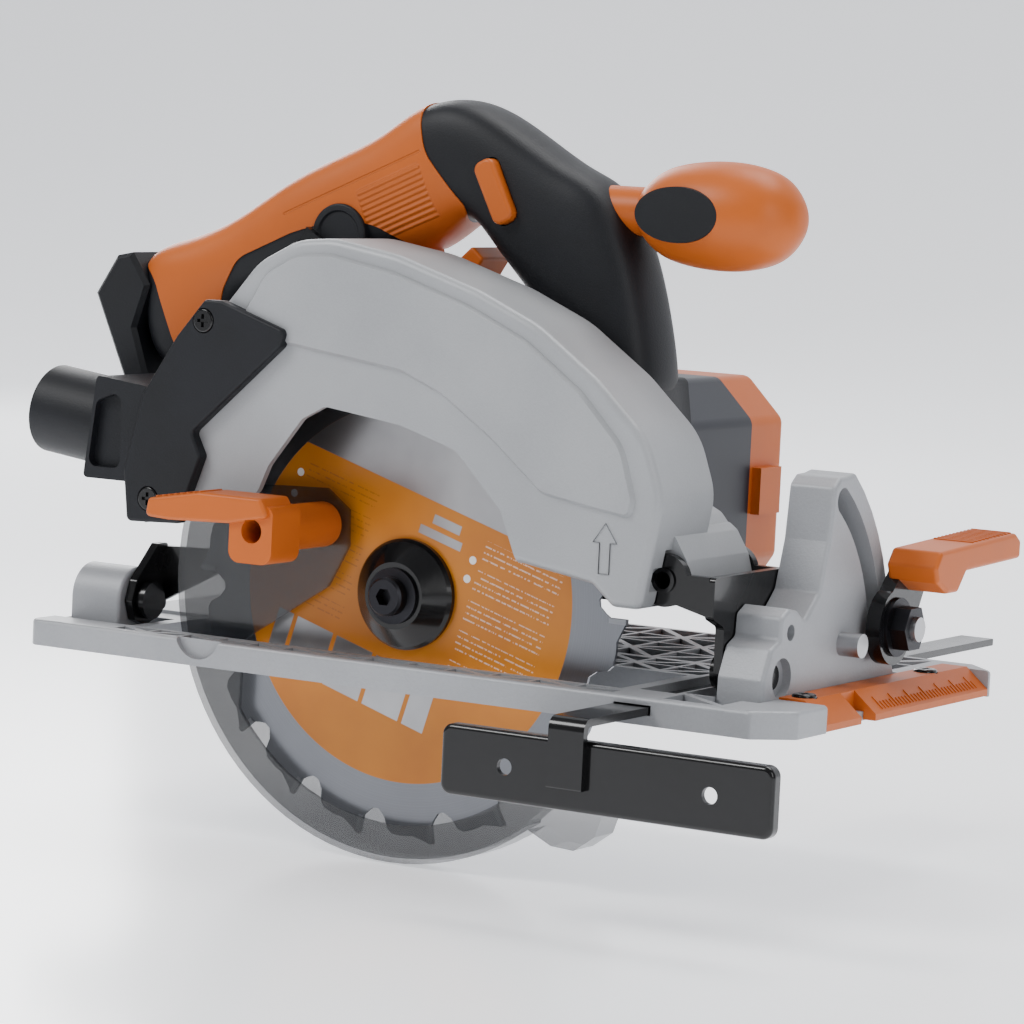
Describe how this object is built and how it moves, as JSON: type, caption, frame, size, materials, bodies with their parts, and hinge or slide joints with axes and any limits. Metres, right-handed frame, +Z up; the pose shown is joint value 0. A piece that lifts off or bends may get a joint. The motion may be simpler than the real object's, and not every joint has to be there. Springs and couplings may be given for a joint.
{
  "type": "cordless circular saw",
  "caption": "Cordless hand-held circular saw with a swinging lower guard, tilting and plunging base, D-handle, front knob and a sliding edge guide",
  "frame": {"origin": "on the sole, directly under the arbor, in the blade's mid plane", "axes": "+X in the cutting direction, +Y from the blade towards the motor, +Z up from the sole"},
  "size_m": [0.315, 0.2955, 0.2519],
  "materials": {
    "cast_metal": "fine satin silver paint on cast alloy",
    "orange_plastic": "moulded, satin",
    "black_plastic": "moulded, fine spark texture",
    "black_steel": "glossy black coating on pressed steel",
    "blade_steel": "ground, with a printed disc",
    "carbide": "sintered, dull",
    "machine_steel": "turned and hobbed",
    "smoked_plastic": "clear smoked moulding",
    "soft_black": "soft overmould",
    "terminal_brass": "stamped",
    "copper_laminate": "laminated core and copper segments",
    "circuit_board": "fibre board"
  },
  "bodies": {
    "base": {"base_plate": "cast_metal", "front_insert": "orange_plastic", "insert_screws": "black_steel", "bevel_quadrant": "cast_metal", "rear_trunnion": "cast_metal", "tilt_pins": "black_steel", "bevel_stop_pin": "cast_metal"},
    "tilt_frame": {"front_bracket": "black_steel", "rear_bracket": "black_steel", "depth_guide": "black_steel", "bevel_bolt": "machine_steel", "depth_pivot_pin": "black_steel"},
    "tilt_lever": {"bevel_lever": "black_steel", "bevel_lever_grip": "orange_plastic", "bevel_lever_nut": "black_steel"},
    "saw_head": {"upper_guard": "cast_metal", "dust_port": "black_plastic", "dust_port_screws": "black_steel", "gear_housing": "cast_metal", "motor_housing": "black_plastic", "motor_end_cap": "orange_plastic", "motor_can": "machine_steel", "brush_holders": "black_plastic", "arbor_bearings": "machine_steel", "motor_bearings": "machine_steel", "handle_shell_left": "black_plastic", "handle_shell_right": "black_plastic", "grip_left": "orange_plastic", "grip_right": "orange_plastic", "battery_shoe": "black_plastic", "terminal_blades": "terminal_brass", "switch_body": "black_plastic", "control_board": "circuit_board", "handle_screws": "black_steel", "front_knob": "orange_plastic", "knob_inserts": "soft_black", "knob_cap": "orange_plastic", "guard_return_spring": "machine_steel", "depth_bolt": "machine_steel"},
    "blade": {"saw_blade": "blade_steel", "carbide_tips": "carbide", "outer_flange": "black_steel", "inner_flange": "machine_steel", "arbor_bolt": "black_steel", "arbor_shaft": "machine_steel", "output_gear": "machine_steel"},
    "countershaft": {"countershaft": "machine_steel", "middle_gear": "machine_steel"},
    "armature": {"armature_shaft": "machine_steel", "armature_core": "copper_laminate", "commutator": "copper_laminate", "cooling_fan": "black_plastic"},
    "lower_guard": {"lower_guard": "smoked_plastic", "guard_lever": "orange_plastic"},
    "trigger": {"trigger": "orange_plastic"},
    "lock_off": {"lock_off_button": "orange_plastic"},
    "spindle_lock": {"spindle_lock": "black_plastic"},
    "depth_clamp": {"depth_lever": "black_steel"},
    "edge_guide": {"fence_bar": "black_steel", "fence_plate": "black_steel"}
  },
  "joints": [
    {"name": "bevel_tilt", "type": "hinge", "parent": "base", "child": "tilt_frame", "pos_m": [0, 0.0025, 0.015], "axis": [1, 0, 0], "range_deg": [0, 45]},
    {"name": "bevel_lever_turn", "type": "hinge", "parent": "tilt_frame", "child": "tilt_lever", "pos_m": [0.141, 0.06641, 0.02685], "axis": [1, 0, 0], "range_deg": [0, 50]},
    {"name": "depth_swing", "type": "hinge", "parent": "tilt_frame", "child": "saw_head", "pos_m": [0.1025, 0, 0.0436], "axis": [0, 1, 0], "range_deg": [0, 30]},
    {"name": "blade_spin", "type": "hinge", "parent": "saw_head", "child": "blade", "pos_m": [0, 0, 0.028], "axis": [0, 1, 0], "continuous": true},
    {"name": "countershaft_spin", "type": "hinge", "parent": "saw_head", "child": "countershaft", "pos_m": [0.01671, 0.02, 0.04792], "axis": [0, 1, 0], "continuous": true},
    {"name": "armature_spin", "type": "hinge", "parent": "saw_head", "child": "armature", "pos_m": [0.03405, 0.06, 0.06146], "axis": [0, 1, 0], "continuous": true},
    {"name": "guard_retract", "type": "hinge", "parent": "saw_head", "child": "lower_guard", "pos_m": [0, 0, 0.028], "axis": [0, 1, 0], "range_deg": [0, 110], "stiffness_Nm_per_rad": 0.15, "springref_deg": -34.38},
    {"name": "trigger_squeeze", "type": "slide", "parent": "saw_head", "child": "trigger", "axis": [-0.2922, 0, 0.9564], "range_m": [0, 0.005], "stiffness_N_per_m": 800, "springref_m": -0.002},
    {"name": "lock_off_press", "type": "slide", "parent": "saw_head", "child": "lock_off", "axis": [0, 1, 0], "range_m": [0, 0.002], "stiffness_N_per_m": 600, "springref_m": -0.001},
    {"name": "spindle_lock_press", "type": "slide", "parent": "saw_head", "child": "spindle_lock", "axis": [1, 0, 0], "range_m": [0, 0.0015], "stiffness_N_per_m": 800, "springref_m": -0.001},
    {"name": "depth_lever_turn", "type": "hinge", "parent": "saw_head", "child": "depth_clamp", "pos_m": [-0.0755, 0.018, 0.0436], "axis": [0, 1, 0], "range_deg": [-40, 0]},
    {"name": "fence_slide", "type": "slide", "parent": "base", "child": "edge_guide", "axis": [0, 1, 0], "range_m": [-0.12, 0.025]}
  ],
  "couplings": [
    {"joint": "countershaft_spin", "follows": "blade_spin", "ratio": -2.25},
    {"joint": "armature_spin", "follows": "blade_spin", "ratio": 6}
  ]
}
